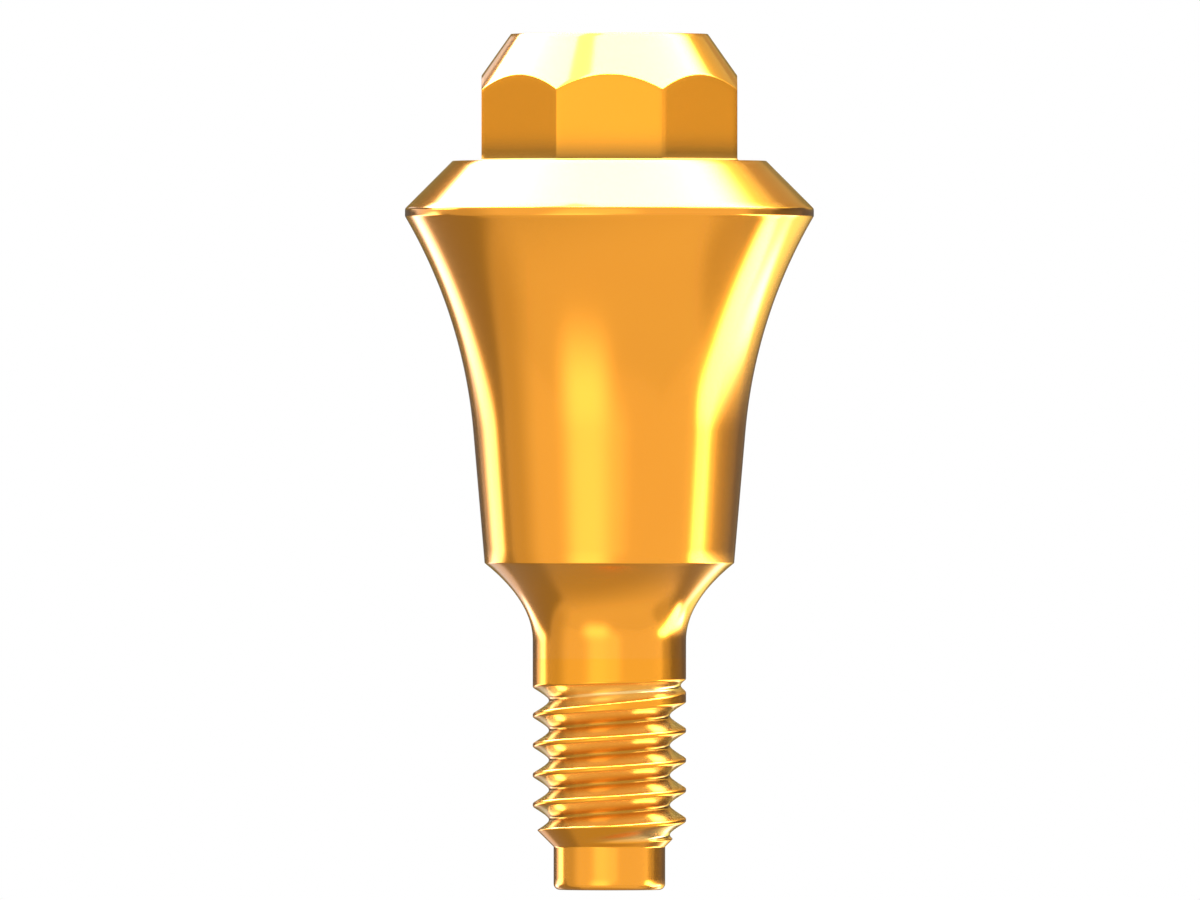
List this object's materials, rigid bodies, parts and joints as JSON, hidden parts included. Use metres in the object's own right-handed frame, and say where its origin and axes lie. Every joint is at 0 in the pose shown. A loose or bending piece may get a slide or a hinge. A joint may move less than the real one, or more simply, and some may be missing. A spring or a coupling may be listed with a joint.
{
  "type": "dental abutment",
  "caption": "Straight one-piece dental abutment: eight-sided head on a flared collar, with its own screw thread below, gold-coated titanium.",
  "frame": {"origin": "centre of the seating taper's lower edge, where the abutment meets the implant's mouth", "axes": "+Z along the abutment's axis, out of the implant towards the bridge; the thread points to -Z; X and Y are square to flats of the head"},
  "size_m": [0.0048, 0.0048, 0.01],
  "materials": {
    "gold_coated_titanium": "polished titanium with a gold nitride coating"
  },
  "bodies": {
    "root": {"abutment": "gold_coated_titanium"}
  },
  "joints": []
}
